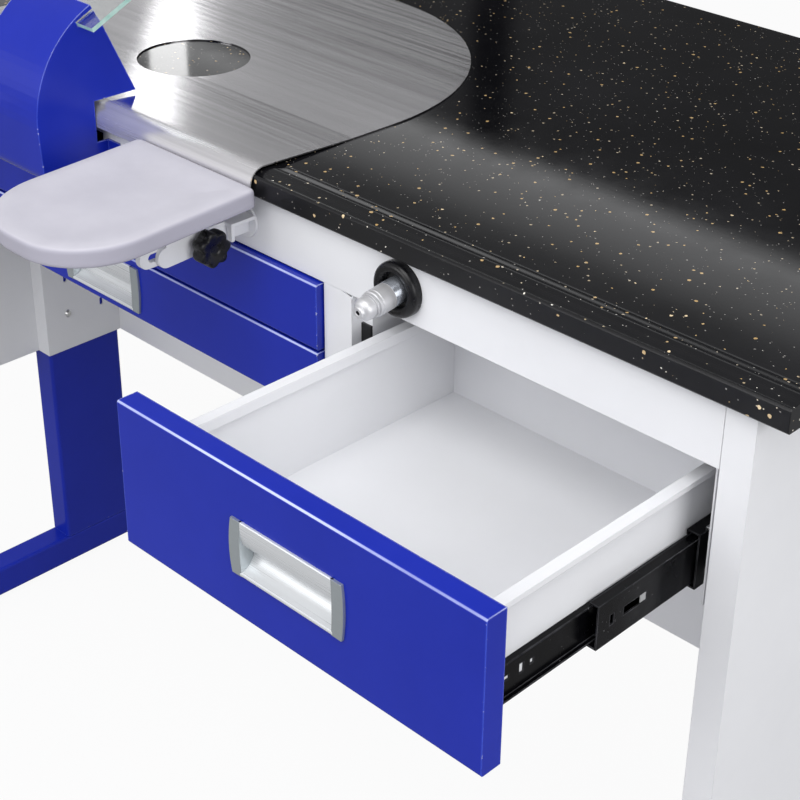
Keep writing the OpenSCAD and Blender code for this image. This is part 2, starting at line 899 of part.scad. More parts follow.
// Drawers, each drawn closed and about its own middle, low edge at z = 0

// Sheet box with a rim folded in along its sides and, with an outer width, one folded out
module drawer_box(w, h, inner_w, outer_w) {
    difference() {
        translate([-w / 2, 0, 0]) cube([w, box_l, h]);
        translate([box_sheet - w / 2, box_sheet, box_sheet])
            cube([w - 2 * box_sheet, box_l - 2 * box_sheet, h]);
    }
    for (side = [0, 1])
        mirror([side, 0, 0]) {
            translate([w / 2 - inner_w, box_sheet, h - box_sheet])
                cube([inner_w - box_sheet, box_l - 2 * box_sheet, box_sheet]);
            translate([w / 2 - inner_w, box_sheet, h - rim_h])
                cube([box_sheet, box_l - 2 * box_sheet, rim_h]);
            if (outer_w > 0) {
                translate([w / 2 - box_sheet, 0, h - box_sheet])
                    cube([outer_w + box_sheet, box_l, box_sheet]);
                translate([w / 2 + outer_w - box_sheet, 0, h - rim_h / 2])
                    cube([box_sheet, box_l, rim_h / 2]);
            }
        }
}

// Folded front: a pan with a returned lip behind it, and a window for the handle
module drawer_front(w, h) {
    lip = 14;
    difference() {
        along_x(-w / 2, w) {
            translate([front_r, 0]) square([front_t - front_r, h]);
            translate([0, front_r]) square([front_t, h - 2 * front_r]);
            translate([front_r, front_r]) circle(front_r, $fn = round_fn);
            translate([front_r, h - front_r]) circle(front_r, $fn = round_fn);
        }
        translate([sheet - w / 2, sheet, sheet])
            cube([w - 2 * sheet, front_t - 2 * sheet, h - 2 * sheet]);
        translate([lip - w / 2, front_t - 2 * sheet, lip])
            cube([w - 2 * lip, front_t, h - 2 * lip]);
        translate([-window_l / 2, -overcut, (h - window_h) / 2])
            cube([window_l, sheet + 2 * overcut, window_h]);
    }
}

window_l = handle_l - 8;
window_h = handle_h - 6;
handle_wall = 1.6;

// Recessed handle: a curved pocket under an overhanging lip, between two bowed caps
module handle() {
    body_l = window_l - 2 * fit;
    body_h = window_h - 2 * fit;
    pocket_r = body_h / 2 - handle_wall;
    mouth_share = 0.78;
    bow = 2.2;
    bow_r = (handle_h * handle_h / 4 + bow * bow) / (2 * bow);
    color(bare_aluminium) {
        along_x(cap_w - handle_l / 2, handle_l - 2 * cap_w)
            difference() {
                union() {
                    translate([-handle_lip, -handle_h / 2]) square([handle_lip, handle_h]);
                    translate([0, -body_h / 2]) square([pocket_d, body_h]);
                }
                intersection() {
                    circle(pocket_r, $fn = 64);
                    translate([-pocket_r, -pocket_r])
                        square([pocket_r + pocket_d - handle_wall, 2 * pocket_r]);
                }
                translate([-2 * handle_lip, -pocket_r]) square([2 * handle_lip, mouth_share * 2 * pocket_r]);
            }
        for (side = [0, 1])
            mirror([side, 0, 0]) {
                translate([handle_l / 2 - cap_w, 0, -body_h / 2])
                    cube([body_l / 2 - handle_l / 2 + cap_w, pocket_d, body_h]);
                translate([handle_l / 2 - cap_w, -handle_lip - cap_proud, -handle_h / 2])
                    cube([cap_w, handle_lip + cap_proud, handle_h]);
                intersection() {
                    translate([handle_l / 2 - bow_r, 0, 0])
                        rod_y(-handle_lip - cap_proud, handle_lip + cap_proud, bow_r + bow);
                    translate([handle_l / 2, -handle_lip - cap_proud, -handle_h / 2])
                        cube([2 * bow, handle_lip + cap_proud, handle_h]);
                }
            }
    }
}

module right_drawer_box() {
    color(white_paint)
        translate([right_mid_x, box_y - right_open, right_box_z])
            drawer_box(right_box_w, right_box_h, right_rim_in, right_rim_out);
}

module right_drawer_front() {
    color(blue_paint)
        translate([right_mid_x, front_face_y - right_open, right_front_z])
            drawer_front(right_front_w, right_front_h);
}

module right_handle() {
    translate([right_mid_x, front_face_y - right_open, right_front_z + right_front_h / 2]) handle();
}

module upper_drawer_box() {
    color(white_paint)
        translate([middle_mid_x, box_y, upper_box_z])
            drawer_box(middle_box_w, middle_box_h, middle_rim_w, 0);
}

module upper_drawer_front() {
    color(blue_paint)
        translate([middle_mid_x, front_face_y, upper_front_z]) drawer_front(middle_front_w, middle_front_h);
}

module upper_handle() {
    translate([middle_mid_x, front_face_y, upper_front_z + middle_front_h / 2]) handle();
}

module lower_drawer_box() {
    color(white_paint)
        translate([middle_mid_x, box_y, lower_box_z])
            drawer_box(middle_box_w, middle_box_h, middle_rim_w, 0);
}

module lower_drawer_front() {
    color(blue_paint)
        translate([middle_mid_x, front_face_y, lower_front_z]) drawer_front(middle_front_w, middle_front_h);
}

module lower_handle() {
    translate([middle_mid_x, front_face_y, lower_front_z + middle_front_h / 2]) handle();
}

// Suction hood

hood_steps = 18;

// Front of the hood, from the top edge down and back to the apron
function hood_front(inset) = concat(
    [for (i = [0 : hood_steps])
        let (a = hood_end_a + (180 - hood_end_a) * i / hood_steps)
        [hood_cy + (hood_r - inset) * cos(a), hood_cz + (hood_r - inset) * sin(a)]],
    [for (a = [180 : 15 : 270])
        [hood_cy - hood_r + hood_bend + 2 + (hood_bend - inset) * cos(a),
         hood_bend - hood_drop + (hood_bend - inset) * sin(a)]],
    [[apron_setback, inset - hood_drop]]);

module hood_side() {
    polygon(concat(hood_front(0), [
        [apron_setback, notch_low], [notch_y, notch_low], [notch_y, notch_top],
        hood_back_low, hood_back_top]));
}

module hood_shell() {
    inner = hood_front(hood_t);
    polygon(concat(hood_front(0), [for (i = [len(inner) - 1 : -1 : 0]) inner[i]]));
}

// The glass lies on this frame: x across, y up its slope, z through its thickness
module on_glass() {
    translate([work_x, front_y, slab_z])
        translate([0, glass_front_y, glass_level]) rotate([glass_a, 0, 0]) children();
}

module suction_hood() {
    color(blue_paint)
        difference() {
            translate([work_x, front_y, slab_z]) {
                along_x(-hood_w / 2, hood_w) hood_shell();
                for (x = [-hood_w / 2, hood_w / 2 - hood_t])
                    along_x(x, hood_t) hood_side();
                both_ends()
                    block([hood_w / 2 - hood_t, apron_setback - hood_t, -hood_drop],
                          [hood_w / 2 + hood_flange, apron_setback, notch_low]);
            }
            on_glass() translate([-hood_w, -seat, -seat]) cube([2 * hood_w, glass_l, glass_t + 2 * seat]);
        }
}

// Glass shield with round back corners, pushed into slots in the hood's sides
module glass_shield() {
    color(clear_glass)
        on_glass()
            linear_extrude(glass_t)
                intersection() {
                    translate([-glass_w / 2, -glass_r]) round_square([glass_w, glass_l + glass_r], glass_r);
                    translate([-glass_w, 0]) square([2 * glass_w, glass_l]);
                }
}

duct_z = slab_z - hood_drop + hood_t + 4;
duct_wall = 1.5;

// Duct from the hood to behind the cross panel, with a round spigot down to the suction hose
module suction_duct() {
    spigot_l = 25;
    spigot_in = 30;
    spigot_wall = 2;
    flange = 5;
    flange_t = 2;
    duct_end = cross_y + cross_flange + duct_back;
    color(black_plastic)
        difference() {
            union() {
                block([work_x - duct_w / 2, apron_y, duct_z],
                      [work_x + duct_w / 2, duct_end, duct_z + duct_h]);
                block([work_x - duct_w / 2 - flange, apron_y + sheet, duct_z - flange],
                      [work_x + duct_w / 2 + flange, apron_y + sheet + flange_t, duct_z + duct_h + flange]);
                translate([work_x, duct_end - spigot_in, duct_z - spigot_l])
                    cylinder(h = spigot_l + duct_wall, d = spigot_d, $fn = 64);
            }
            block([work_x - duct_w / 2 + duct_wall, apron_y - overcut, duct_z + duct_wall],
                  [work_x + duct_w / 2 - duct_wall, duct_end - duct_wall, duct_z + duct_h - duct_wall]);
            translate([work_x, duct_end - spigot_in, duct_z - spigot_l - overcut])
                cylinder(h = spigot_l + duct_wall + 2 * overcut, r = spigot_d / 2 - spigot_wall, $fn = 64);
        }
}

// Arm rests, drawn about the seat's centre line for the right hand side,
// y from the front edge of the slab and z from its underside

module rest_frame(side) {
    translate([work_x, front_y, slab_z])
        mirror([side, 0, 0])
            translate([rest_offset, 0, 0]) children();
}

// Turns a pad and its plate about the pivot so that they slope down to the front
module tilted() {
    translate([0, -pivot_y, -pivot_z])
        rotate([rest_tilt, 0, 0])
            translate([0, pivot_y, pivot_z]) children();
}

module round_bar(y0, y1, h) {
    translate([y0 + h / 2, -h / 2]) square([y1 - y0 - h, h]);
    translate([y0 + h / 2, 0]) circle(h / 2, $fn = round_fn);
    translate([y1 - h / 2, 0]) circle(h / 2, $fn = round_fn);
}

// Round ended plate on the apron with a slotted bar standing forward from it,
// and a small angle bracket beside the bar
module rest_base() {
    bracket_reach = 18;
    bracket_w = 13;
    bracket_t = 3;
    bracket_drop = 15;
    tab_w = 5;
    translate([0, 0, -pivot_z]) {
        translate([0, apron_setback, 0])
            along_y(-base_t, base_t) round_bar(-base_l / 2, base_l / 2, base_h);
        along_x(bar_x, bar_t)
            difference() {
                union() {
                    translate([bar_h / 2 - bar_reach, -bar_h / 2])
                        square([bar_reach - bar_h / 2 + apron_setback - base_t, bar_h]);
                    translate([bar_h / 2 - bar_reach, 0]) circle(bar_h / 2, $fn = round_fn);
                }
                round_bar(slot_y0, slot_y1, bar_slot_h);
            }
        block([bar_x, -bracket_reach, bar_h / 2 - bracket_t],
              [bar_x + bracket_w, apron_setback - base_t, bar_h / 2]);
        block([bar_x + bracket_w - tab_w, -bracket_reach, bar_h / 2 - bracket_drop],
              [bar_x + bracket_w, bracket_t - bracket_reach, bar_h / 2]);
    }
}

// Clamping nut: its tongue slides in the bar's slot and its head bears on the bar
module rest_nut() {
    head_t = 6;
    head_w = 16;
    tongue_h = bar_slot_h - 2 * fit;
    translate([0, -pivot_y, -pivot_z])
        difference() {
            union() {
                translate([bar_x - head_t - fit, -head_w / 2, -head_w / 2]) cube([head_t, head_w, head_w]);
                along_x(bar_x - fit - overcut, bar_t - 0.5 + overcut)
                    round_bar(-tongue_h / 2 - 1, tongue_h / 2 + 1, tongue_h);
            }
            rod_x(bar_x - head_t - overcut - fit, head_t + bar_t + 2 * overcut, stud_d / 2 + fit / 2);
        }
}

// Steel plate under the pad with the arm that the knob clamps
module rest_plate() {
    plate_back = -pad_plate_back;
    plate_z = -pad_low - pad_plate_t;
    arm_top = plate_z + overcut / 2;
    difference() {
        union() {
            translate([-pad_plate_w / 2, plate_back - pad_plate_l, plate_z])
                linear_extrude(pad_plate_t) round_square([pad_plate_w, pad_plate_l], pad_plate_r);
            along_x(arm_x, arm_t) {
                translate([-pivot_y, -pivot_z]) round_bar(-arm_front, arm_back, arm_h);
                translate([-pivot_y - arm_front + arm_h / 2, -pivot_z])
                    square([arm_front - arm_h / 2, arm_top + pivot_z]);
            }
        }
        translate([0, -pivot_y, -pivot_z]) rod_x(arm_x - overcut, arm_t + 2 * overcut, stud_d / 2 + fit);
    }
}

module pad_outline() {
    half = pad_w / 2;
    hull() {
        for (x = [-1, 1])
            translate([x * (half - pad_back_r), -pad_gap - pad_back_r]) circle(pad_back_r, $fn = 32);
        translate([pad_inner_r - half, pad_inner_r - pad_gap - pad_l]) circle(pad_inner_r, $fn = 64);
        translate([half - pad_outer_r, pad_outer_r - pad_gap - pad_l]) circle(pad_outer_r, $fn = 64);
    }
}

// Moulded foam pad with a slightly crowned top: each layer's height and its inset from the outline
module rest_pad() {
    layers = [[0, 1.5], [1.5, 0], [pad_t - 3, 0], [pad_t - 1.6, 0.6], [pad_t - 0.8, 2], [pad_t, 24]];
    translate([0, 0, -pad_low])
        for (i = [0 : len(layers) - 2])
            translate([0, 0, layers[i][0]])
                hull() {
                    linear_extrude(0.01) offset(r = -layers[i][1]) pad_outline();
                    translate([0, 0, layers[i + 1][0] - layers[i][0] - 0.01])
                        linear_extrude(0.01) offset(r = -layers[i + 1][1]) pad_outline();
                }
}

// Star knob with its stud
module rest_knob() {
    hub_r = 8;
    hub_t = 4;
    lobe_r = knob_d * 0.17;
    translate([0, -pivot_y, -pivot_z]) {
        color(black_plastic) {
            rod_x(knob_x, hub_t, hub_r);
            translate([knob_x + hub_t - 0.5, 0, 0])
                rotate([90, 0, 90])
                    linear_extrude(knob_t + 0.5)
                        difference() {
                            circle(d = knob_d, $fn = 96);
                            for (i = [0 : knob_lobes - 1])
                                rotate(360 * i / knob_lobes)
                                    translate([knob_d / 2 + lobe_r * 0.35, 0]) circle(lobe_r, $fn = 32);
                        }
        }
        color(zinc) rod_x(bar_x - 4, knob_x + overcut - bar_x + 4, stud_d / 2);
    }
}

module right_rest_base() {
    color(white_paint) rest_frame(0) rest_base();
}

module left_rest_base() {
    color(white_paint) rest_frame(1) rest_base();
}

module right_rest_nut() {
    color(zinc) rest_frame(0) rest_nut();
}

module left_rest_nut() {
    color(zinc) rest_frame(1) rest_nut();
}

module right_rest_plate() {
    color(white_paint) rest_frame(0) tilted() rest_plate();
}

module left_rest_plate() {
    color(white_paint) rest_frame(1) tilted() rest_plate();
}

module right_rest_pad() {
    color(pad_grey) rest_frame(0) tilted() rest_pad();
}

module left_rest_pad() {
    color(pad_grey) rest_frame(1) tilted() rest_pad();
}

module right_rest_knob() {
    rest_frame(0) rest_knob();
}

module left_rest_knob() {
    rest_frame(1) rest_knob();
}

// Air nozzle, drawn along Y with the apron face at y = 0

nozzle_collar_r = 15;
nozzle_guide_r = nozzle_d / 2 + fit;

// Puts a shape drawn along Z on the apron, pointing to the front and down by the angle
module on_nozzle(angle) {
    translate([nozzle_x, apron_y, slab_z - nozzle_z]) rotate([90 + angle, 0, 0]) children();
}

// Black ring with a rounded rim, a collar through the apron and a guide for the nozzle
module nozzle_ring() {
    bead_r = ring_t / 2;
    rim_r = ring_d / 2;
    guide_l = 14;
    ring_floor = 3;
    mouth_r = nozzle_guide_r + 4;
    color(black_plastic)
        difference() {
            on_nozzle(0)
                rotate_extrude($fn = 72)
                    union() {
                        square([rim_r - bead_r, ring_floor]);
                        translate([mouth_r, 0]) square([rim_r - bead_r - mouth_r, ring_t - 1]);
                        translate([rim_r - bead_r, 0]) square([bead_r, bead_r]);
                        translate([rim_r - bead_r, bead_r]) circle(bead_r, $fn = 40);
                        translate([0, -guide_l]) square([nozzle_collar_r, guide_l]);
                    }
            on_nozzle(nozzle_tilt)
                translate([0, 0, -2 * guide_l]) cylinder(h = 3 * guide_l, r = nozzle_guide_r, $fn = 64);
        }
}

// Turned nozzle: a body with two grooves, a neck, a rounded nose and a fine bore
module air_nozzle() {
    r = nozzle_d / 2;
    nose_r = r * 0.78;
    tip = nozzle_out;
    tail = 30;
    shoulder = 20;
    color(bare_aluminium)
        on_nozzle(nozzle_tilt)
            difference() {
                rotate_extrude($fn = 72)
                    polygon([
                        [0, -tail], [r - 3, -tail], [r - 3, -shoulder], [r, -shoulder],
                        [r, tip - 30], [r - 0.8, tip - 29], [r - 0.8, tip - 18],
                        [r - 1.8, tip - 17], [r - 1.8, tip - 15.6], [r - 1, tip - 15],
                        [r - 1, tip - 13.4], [r - 2.2, tip - 12.8], [r - 2.2, tip - 11.6],
                        [nose_r, tip - 11], [nose_r, tip - 5], [nose_r - 0.6, tip - 3],
                        [nose_r - 2, tip - 1.2], [nose_r - 4, tip], [0, tip]]);
                translate([0, 0, tip - 12]) cylinder(h = 12 + overcut, r = 1.5, $fn = 24);
            }
}

worktop();
work_plate();
plate_pads();
apron();
right_end_panel();
left_end_panel();
cross_panel();
rear_rail();
top_props();
divider();
left_fascia();
right_sleeve();
left_sleeve();
sleeve_screws();
right_post();
left_post();
right_foot();
left_foot();
foot_caps();
foot_glides();
right_slide_brackets();
middle_slide_brackets();
drawer_buffer();
fixed_slides();
right_slide_middles();
upper_slide_middles();
lower_slide_middles();
right_slide_inners();
upper_slide_inners();
lower_slide_inners();
right_drawer_box();
right_drawer_front();
right_handle();
upper_drawer_box();
upper_drawer_front();
upper_handle();
lower_drawer_box();
lower_drawer_front();
lower_handle();
suction_hood();
glass_shield();
suction_duct();
right_rest_base();
right_rest_nut();
right_rest_plate();
right_rest_pad();
right_rest_knob();
left_rest_base();
left_rest_nut();
left_rest_plate();
left_rest_pad();
left_rest_knob();
nozzle_ring();
air_nozzle();
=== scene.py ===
import json
import math

import bmesh
import bpy
from mathutils import Matrix, Vector


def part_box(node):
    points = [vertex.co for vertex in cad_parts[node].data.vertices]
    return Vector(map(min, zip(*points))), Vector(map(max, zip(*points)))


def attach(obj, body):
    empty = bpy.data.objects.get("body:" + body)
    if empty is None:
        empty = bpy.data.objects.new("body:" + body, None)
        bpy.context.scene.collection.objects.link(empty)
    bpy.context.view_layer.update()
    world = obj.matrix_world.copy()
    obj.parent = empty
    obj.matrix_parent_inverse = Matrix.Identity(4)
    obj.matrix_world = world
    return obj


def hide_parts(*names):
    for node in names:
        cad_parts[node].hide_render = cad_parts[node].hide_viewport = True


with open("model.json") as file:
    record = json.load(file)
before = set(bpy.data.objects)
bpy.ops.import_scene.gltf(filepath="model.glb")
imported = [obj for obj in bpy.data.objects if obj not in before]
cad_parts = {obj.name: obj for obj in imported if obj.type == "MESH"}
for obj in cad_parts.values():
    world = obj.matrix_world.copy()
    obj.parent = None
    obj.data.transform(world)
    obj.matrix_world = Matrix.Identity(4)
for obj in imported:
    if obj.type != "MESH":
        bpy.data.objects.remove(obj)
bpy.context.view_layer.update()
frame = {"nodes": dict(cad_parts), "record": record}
nodes = frame["nodes"]
scene = bpy.context.scene
scene.view_settings.view_transform = "Standard"


# Camera at the photograph's viewing angle

CAMERA_AZIMUTH, CAMERA_RISE, CAMERA_ROLL = math.radians(41.66), math.radians(28.47), math.radians(2.02)
CAMERA_PLACE = Vector((1.0521, -0.9803, 1.3199))
LENS_MM, SENSOR_MM = 77.22, 36
LENS_SHIFT = (-0.10625, -0.0725)


def make_camera():
    az, el, roll = CAMERA_AZIMUTH, CAMERA_RISE, CAMERA_ROLL
    back = Vector((math.sin(az) * math.cos(el), -math.cos(az) * math.cos(el), math.sin(el)))
    flat = Vector((math.cos(az), math.sin(az), 0))
    lift = back.cross(flat)
    right = flat * math.cos(roll) + lift * math.sin(roll)
    up = lift * math.cos(roll) - flat * math.sin(roll)
    data = bpy.data.cameras.new("camera")
    data.sensor_width = SENSOR_MM
    data.lens = LENS_MM
    data.shift_x, data.shift_y = LENS_SHIFT
    data.clip_start, data.clip_end = 0.05, 60
    cam = bpy.data.objects.new("camera", data)
    scene.collection.objects.link(cam)
    m = Matrix((right, up, back)).transposed().to_4x4()
    m.translation = CAMERA_PLACE
    cam.matrix_world = m
    scene.camera = cam


make_camera()


# Node helpers

class Mat:
    def __init__(self, name, color, **sockets):
        self.m = bpy.data.materials.new(name)
        self.m.use_nodes = True
        self.t = self.m.node_tree
        self.b = self.t.nodes["Principled BSDF"]
        self.set("Base Color", (*color, 1))
        for key, value in sockets.items():
            self.set(key.replace("_", " "), value)
        self.co = self.node("ShaderNodeTexCoord").outputs["Object"]

    def set(self, socket, value):
        self.b.inputs[socket].default_value = value

    def node(self, kind, **props):
        n = self.t.nodes.new(kind)
        for k, v in props.items():
            setattr(n, k, v)
        return n

    def link(self, a, b):
        self.t.links.new(a, b)

    def put(self, node, socket, value):
        """Link a socket, or set a plain value."""
        if isinstance(value, bpy.types.NodeSocket):
            self.link(value, node.inputs[socket])
        else:
            node.inputs[socket].default_value = value

    def math(self, op, a, b):
        n = self.node("ShaderNodeMath", operation=op)
        self.put(n, 0, a)
        self.put(n, 1, b)
        return n.outputs[0]

    def ramp(self, value, lo, hi, a=0.0, b=1.0):
        """a at lo and b at hi, level beyond them."""
        n = self.node("ShaderNodeMapRange")
        for i, v in enumerate((value, lo, hi, a, b)):
            self.put(n, i, v)
        return n.outputs[0]

    def mix(self, fac, a, b):
        """Color a at 0 and color b at 1."""
        n = self.node("ShaderNodeMix", data_type="RGBA")
        self.put(n, 0, fac)
        self.put(n, 6, (*a, 1) if isinstance(a, tuple) else a)
        self.put(n, 7, (*b, 1) if isinstance(b, tuple) else b)
        return n.outputs[2]

    def scaled(self, x, y, z):
        n = self.node("ShaderNodeMapping")
        self.link(self.co, n.inputs["Vector"])
        n.inputs["Scale"].default_value = (x, y, z)
        return n.outputs[0]

    def noise(self, scale, detail, rough=0.5, vector=None, out="Fac"):
        n = self.node("ShaderNodeTexNoise")
        self.link(vector or self.co, n.inputs["Vector"])
        n.inputs["Scale"].default_value = scale
        n.inputs["Detail"].default_value = detail
        n.inputs["Roughness"].default_value = rough
        return n.outputs[out]

    def axes(self, vector=None):
        n = self.node("ShaderNodeSeparateXYZ")
        self.link(vector or self.co, n.inputs[0])
        return n.outputs

    def normal_z(self):
        """How far the surface faces up, 1 for level faces."""
        return self.axes(self.node("ShaderNodeNewGeometry").outputs["Normal"])[2]

    def bump(self, height, distance, strength, soft_edges=0.0):
        n = self.node("ShaderNodeBump")
        self.link(height, n.inputs["Height"])
        n.inputs["Distance"].default_value = distance
        n.inputs["Strength"].default_value = strength
        if soft_edges:
            v = self.node("ShaderNodeBevel", samples=4)
            v.inputs["Radius"].default_value = soft_edges
            self.link(v.outputs[0], n.inputs["Normal"])
        self.link(n.outputs[0], self.b.inputs["Normal"])

    def to(self, socket, value):
        self.link(value, self.b.inputs[socket])

    def spread(self, value, rough, low=0.85, high=1.15):
        """Roughness that follows a pattern round a middle value."""
        self.to("Roughness", self.ramp(value, 0.3, 0.7, rough * low, rough * high))


def paint(obj, material):
    obj.data.materials.clear()
    obj.data.materials.append(material)


# Materials

ROLL_FULL, ROLL_START = -0.188, -0.176
# The pale blue is the painted highlight on upward edges and folds of the enamel
PALE_PAINTED_HIGHLIGHT = (0.60, 0.66, 0.98)


def stone():
    """Near black stone with three sizes of grain: gold and beige, pale, and fine grey."""
    s = Mat("stone", (0.012, 0.012, 0.014), Roughness=0.08)
    s.set("Specular IOR Level", 0.42)
    color = s.mix(s.ramp(s.noise(9, 4, 0.6), 0.3, 0.75), (0.003, 0.003, 0.0038), (0.0075, 0.0075, 0.009))
    bent = s.node("ShaderNodeVectorMath", operation="MULTIPLY_ADD")
    s.link(s.noise(420, 2, 0.6, out="Color"), bent.inputs[0])
    bent.inputs[1].default_value = (0.0016, 0.0016, 0.0016)
    s.link(s.co, bent.inputs[2])
    # Each layer: cells per metre, share that holds a grain, smallest and largest grain, two colors
    layers = (
        (135, 0.34, 0.05, 0.20, (0.46, 0.30, 0.12), (0.78, 0.62, 0.40)),
        (205, 0.22, 0.05, 0.21, (0.36, 0.28, 0.17), (0.85, 0.82, 0.75)),
        (430, 0.12, 0.05, 0.26, (0.16, 0.15, 0.14), (0.52, 0.50, 0.47)),
    )
    for scale, share, small, large, dark, light in layers:
        cell = s.node("ShaderNodeTexVoronoi")
        s.link(bent.outputs[0], cell.inputs["Vector"])
        cell.inputs["Scale"].default_value = scale
        rnd = s.node("ShaderNodeSeparateColor")
        s.link(cell.outputs["Color"], rnd.inputs[0])
        size = s.ramp(rnd.outputs[1], 0, 1, small, large)
        inside = s.math("LESS_THAN", cell.outputs["Distance"], size)
        chosen = s.math("LESS_THAN", rnd.outputs[0], share)
        grain = s.mix(rnd.outputs[2], dark, light)
        color = s.mix(s.math("MULTIPLY", inside, chosen), color, grain)
    s.to("Base Color", color)
    # The level top is polished, and the rolled edges are duller
    gloss = s.ramp(s.noise(30, 3, 0.6), 0.3, 0.8, 0.035, 0.07)
    s.to("Roughness", s.math("ADD", gloss, s.ramp(s.normal_z(), 0.97, 0.9999, 0.26, 0.0)))
    s.bump(s.noise(260, 2), 0.000006, 0.4, 0.0015)
    return s.m


def zinc_coat(name, color, rough):
    s = Mat(name, color, Metallic=1.0)
    lines = s.noise(1, 3, 0.6, s.scaled(200, 200, 200))
    fine = s.noise(1, 2, 0.5, s.scaled(800, 520, 520))
    streak = s.math("ADD", s.math("MULTIPLY", lines, 0.65), s.math("MULTIPLY", fine, 0.35))
    dark = tuple(c * 0.86 for c in color)
    s.to("Base Color", s.mix(s.ramp(streak, 0.35, 0.65), dark, color))
    s.spread(streak, rough, 0.8, 1.2)
    s.bump(streak, 0.00004, 0.5, 0.0004)
    return s.m


def plate_steel():
    """Steel brushed along X. The roll in front of ROLL_START is duller and less of a mirror."""
    s = Mat("work_steel", (0.72, 0.71, 0.73), Metallic=1.0)
    s.set("Anisotropic", 0.9)
    across = s.node("ShaderNodeTangent", direction_type="RADIAL", axis="X")
    s.link(across.outputs[0], s.b.inputs["Tangent"])
    lines = s.noise(1, 5, 0.65, s.scaled(5, 330, 330))
    long_lines = s.noise(1, 2, 0.5, s.scaled(1.5, 90, 90))
    streak = s.math("ADD", s.math("MULTIPLY", lines, 0.6), s.math("MULTIPLY", long_lines, 0.4))
    s.to("Base Color", s.mix(s.ramp(streak, 0.38, 0.6), (0.63, 0.62, 0.64), (0.77, 0.76, 0.78)))
    along_y = s.axes()[1]
    roll = s.ramp(along_y, ROLL_FULL, ROLL_START, 0.12, 0.0)
    s.to("Metallic", s.ramp(along_y, ROLL_FULL, ROLL_START, 0.65, 1.0))
    s.to("Roughness", s.math("ADD", s.ramp(lines, 0.35, 0.65, 0.10, 0.16), roll))
    s.bump(lines, 0.000006, 0.5)
    return s.m


def satin(name, color, rough, metallic, along=(4, 1400, 1400)):
    s = Mat(name, color, Metallic=metallic)
    lines = s.noise(1, 2, 0.5, s.scaled(*along))
    s.to("Base Color", s.mix(s.ramp(lines, 0.35, 0.65), tuple(c * 0.97 for c in color), color))
    s.spread(lines, rough)
    s.bump(lines, 0.00001, 0.4, 0.0004)
    return s.m


def powder(name, color, shade, rough, peel, spec):
    s = Mat(name, color)
    s.set("Specular IOR Level", spec)
    cloud = s.noise(14, 3, 0.6)
    s.to("Base Color", s.mix(s.ramp(cloud, 0.35, 0.75), color, shade))
    s.spread(s.noise(60, 2), rough)
    s.bump(s.noise(900, 1), peel, 0.5, 0.0008)
    return s.m


def edge_mask(s, radius):
    """1 on edges and 0 on flat faces, with the normal of the rounded edge."""
    soft = s.node("ShaderNodeBevel", samples=6)
    soft.inputs["Radius"].default_value = radius
    flat = s.node("ShaderNodeNewGeometry").outputs["Normal"]
    dot = s.node("ShaderNodeVectorMath", operation="DOT_PRODUCT")
    s.link(soft.outputs[0], dot.inputs[0])
    s.link(flat, dot.inputs[1])
    return s.ramp(dot.outputs["Value"], 0.985, 0.88), soft.outputs[0]


def enamel(name, color, shade, rim, rough, fold=False):
    """Gloss enamel: orange peel, a thin painted highlight along the edges and a few chips down to the
    primer.
    """
    s = Mat(name, color)
    s.set("Specular IOR Level", 0.3)
    body = s.mix(s.ramp(s.noise(14, 3, 0.6), 0.35, 0.75), color, shade)
    edge, turned = edge_mask(s, 0.0016)
    # Painted highlight along the edges: the rim colour, paler on edges that turn upwards, patchy along
    # their length
    patchy = s.ramp(s.noise(9, 3), 0.35, 0.6, 0.25, 1.0)
    up = s.math("MULTIPLY", s.ramp(s.axes(turned)[2], 0.15, 0.6), patchy)
    lit = s.mix(up, rim, PALE_PAINTED_HIGHLIGHT)
    line = s.mix(s.math("MULTIPLY", edge, s.ramp(s.noise(25, 3), 0.3, 0.7, 0.45, 1.0)), body, lit)
    if fold:
        # A modelled fold is neither level nor upright, and gets one painted highlight line
        lean = s.normal_z()
        crown = s.math("MULTIPLY", s.ramp(lean, 0.2, 0.45), s.ramp(lean, 0.97, 0.85))
        shine = s.ramp(s.noise(6, 3), 0.35, 0.6, 0.3, 0.9)
        line = s.mix(s.math("MULTIPLY", crown, shine), line, PALE_PAINTED_HIGHLIGHT)
    chip = s.math("GREATER_THAN", s.noise(230, 3, 0.7), 0.635)
    near = s.ramp(edge, 0.15, 0.5)
    s.to("Base Color", s.mix(s.math("MULTIPLY", chip, near), line, (0.62, 0.66, 0.78)))
    s.spread(s.noise(60, 2), rough)
    s.bump(s.noise(900, 1), 0.00003, 0.5, 0.0012)
    return s.m


def plastic(name, color, rough, grain=0.00004, scale=1500, spec=0.5):
    s = Mat(name, color)
    s.set("Specular IOR Level", spec)
    lift = tuple(c * 1.3 + 0.001 for c in color)
    s.to("Base Color", s.mix(s.ramp(s.noise(80, 3, 0.6), 0.4, 0.75), color, lift))
    s.spread(s.noise(120, 2), rough, 0.85, 1.2)
    s.bump(s.noise(scale, 2), grain, 0.5, 0.0005)
    return s.m


def slide_finish():
    """Black coat with a grey painted highlight on its rolled edges and a few pale specks."""
    s = Mat("slide_black", (0.003, 0.003, 0.0035))
    s.set("Specular IOR Level", 0.12)
    edge = edge_mask(s, 0.0012)[0]
    # Painted highlight: grey along the rolled edges, patchy along them
    painted_edge_highlight = s.math("MULTIPLY", edge, s.ramp(s.noise(60, 3, 0.6), 0.35, 0.65, 0.15, 1.0))
    body = s.mix(s.ramp(s.noise(80, 3, 0.6), 0.4, 0.75), (0.002, 0.002, 0.0025), (0.004, 0.004, 0.005))
    speck = s.math("MULTIPLY", s.math("GREATER_THAN", s.noise(420, 2, 0.6), 0.74), 0.35)
    s.to("Base Color", s.mix(speck, s.mix(painted_edge_highlight, body, (0.10, 0.10, 0.11)), (0.5, 0.5, 0.52)))
    s.to("Roughness", s.ramp(s.noise(120, 2), 0.3, 0.7, 0.18, 0.28))
    s.bump(s.noise(900, 2), 0.00001, 0.5, 0.0008)
    return s.m


